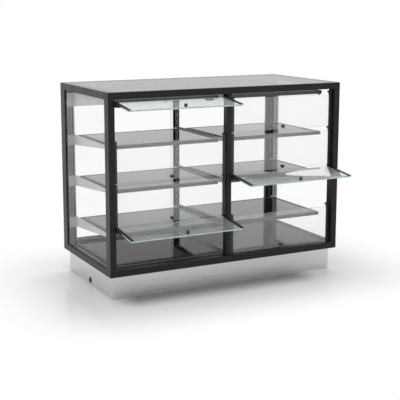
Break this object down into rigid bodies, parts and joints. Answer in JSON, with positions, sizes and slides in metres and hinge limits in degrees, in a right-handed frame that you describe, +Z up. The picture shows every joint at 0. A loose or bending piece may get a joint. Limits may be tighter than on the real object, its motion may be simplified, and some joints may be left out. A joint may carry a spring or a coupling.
{
  "type": "heated drop-in display case",
  "caption": "Glazed countertop hot food cabinet with tiered heated shelves, top-hinged front flaps, sliding rear doors and a stainless base that drops into a counter.",
  "frame": {"origin": "centre of the base underside", "axes": "+X to the customer's right along the case, +Y to the rear (server side), +Z up"},
  "size_m": [1.2, 0.7724, 0.927],
  "materials": {
    "frame_black": "satin black powder coat",
    "satin_grey": "satin grey",
    "bracket_light": "satin light grey",
    "upright_metal": "satin anodised",
    "stainless": "horizontally brushed",
    "clear_glass": "clear float glass",
    "plate_glass": "dark tinted glossy",
    "gasket_rubber": "matt black",
    "heater": "silicone heating mat",
    "element_steel": "dull",
    "black_plastic": "fine grained black",
    "gloss_black": "glossy black",
    "zinc_steel": "zinc plated",
    "door_metal": "satin anodised"
  },
  "bodies": {
    "cabinet": {"left_front_post": "frame_black", "right_front_post": "frame_black", "front_mullion": "frame_black", "left_rear_post": "frame_black", "right_rear_post": "frame_black", "rear_mullion": "frame_black", "top_front_rail": "frame_black", "bottom_front_rail": "frame_black", "top_side_rails": "frame_black", "bottom_side_rails": "frame_black", "rear_header": "frame_black", "rear_sill": "frame_black", "top_glass": "clear_glass", "side_glasses": "clear_glass", "glass_gaskets": "gasket_rubber", "slotted_uprights": "upright_metal", "shelf_brackets": "bracket_light", "lower_shelf_trays": "satin_grey", "middle_shelf_trays": "satin_grey", "upper_shelf_trays": "satin_grey", "shelf_glass_plates": "plate_glass", "heating_pads": "heater", "heating_canopies": "satin_grey", "canopy_glasses": "plate_glass", "canopy_elements": "element_steel", "canopy_clips": "black_plastic", "canopy_cable_cover": "black_plastic", "deck_tray": "satin_grey", "deck_glass_plates": "plate_glass", "base_casing": "stainless", "base_floor": "stainless", "casing_screws": "zinc_steel", "cable_bush": "black_plastic", "terminal_box": "black_plastic", "flap_hinge_plates": "frame_black", "door_tracks": "door_metal", "thermostat_body": "black_plastic", "power_switch_body": "gloss_black"},
    "top_left_flap": {"top_left_flap_glass": "clear_glass", "top_left_flap_fittings": "black_plastic"},
    "top_right_flap": {"top_right_flap_glass": "clear_glass", "top_right_flap_fittings": "black_plastic"},
    "upper_left_flap": {"upper_left_flap_glass": "clear_glass", "upper_left_flap_fittings": "black_plastic"},
    "upper_right_flap": {"upper_right_flap_glass": "clear_glass", "upper_right_flap_fittings": "black_plastic"},
    "lower_left_flap": {"lower_left_flap_glass": "clear_glass", "lower_left_flap_fittings": "black_plastic"},
    "lower_right_flap": {"lower_right_flap_glass": "clear_glass", "lower_right_flap_fittings": "black_plastic"},
    "bottom_left_flap": {"bottom_left_flap_glass": "clear_glass", "bottom_left_flap_fittings": "black_plastic"},
    "bottom_right_flap": {"bottom_right_flap_glass": "clear_glass", "bottom_right_flap_fittings": "black_plastic"},
    "left_door": {"left_rear_door": "clear_glass", "left_door_fittings": "door_metal"},
    "right_door": {"right_rear_door": "clear_glass", "right_door_fittings": "door_metal"},
    "thermostat": {"thermostat_knob": "black_plastic"},
    "rocker": {"power_switch_rocker": "gloss_black"}
  },
  "joints": [
    {"name": "top_left_flap_hinge", "type": "hinge", "parent": "cabinet", "child": "top_left_flap", "pos_m": [-0.291, -0.273, 0.88], "axis": [-1, 0, 0], "range_deg": [-83, 0]},
    {"name": "top_right_flap_hinge", "type": "hinge", "parent": "cabinet", "child": "top_right_flap", "pos_m": [0.291, -0.273, 0.88], "axis": [-1, 0, 0], "range_deg": [0, 83]},
    {"name": "upper_left_flap_hinge", "type": "hinge", "parent": "cabinet", "child": "upper_left_flap", "pos_m": [-0.291, -0.273, 0.708], "axis": [-1, 0, 0], "range_deg": [0, 83]},
    {"name": "upper_right_flap_hinge", "type": "hinge", "parent": "cabinet", "child": "upper_right_flap", "pos_m": [0.291, -0.273, 0.708], "axis": [-1, 0, 0], "range_deg": [0, 83]},
    {"name": "lower_left_flap_hinge", "type": "hinge", "parent": "cabinet", "child": "lower_left_flap", "pos_m": [-0.291, -0.273, 0.5175], "axis": [-1, 0, 0], "range_deg": [0, 83]},
    {"name": "lower_right_flap_hinge", "type": "hinge", "parent": "cabinet", "child": "lower_right_flap", "pos_m": [0.291, -0.273, 0.5175], "axis": [-1, 0, 0], "range_deg": [-83, 0]},
    {"name": "bottom_left_flap_hinge", "type": "hinge", "parent": "cabinet", "child": "bottom_left_flap", "pos_m": [-0.291, -0.273, 0.327], "axis": [-1, 0, 0], "range_deg": [-83, 0]},
    {"name": "bottom_right_flap_hinge", "type": "hinge", "parent": "cabinet", "child": "bottom_right_flap", "pos_m": [0.291, -0.273, 0.327], "axis": [-1, 0, 0], "range_deg": [0, 83]},
    {"name": "left_door_slide", "type": "slide", "parent": "cabinet", "child": "left_door", "axis": [1, 0, 0], "range_m": [0, 0.5]},
    {"name": "right_door_slide", "type": "slide", "parent": "cabinet", "child": "right_door", "axis": [1, 0, 0], "range_m": [-0.5, 0]},
    {"name": "thermostat_turn", "type": "hinge", "parent": "cabinet", "child": "thermostat", "pos_m": [0.43, 0.3, 0.885], "axis": [0, 1, 0], "range_deg": [0, 270]},
    {"name": "rocker_tilt", "type": "hinge", "parent": "cabinet", "child": "rocker", "pos_m": [0.34, 0.2945, 0.885], "axis": [1, 0, 0], "range_deg": [0, 16]}
  ]
}
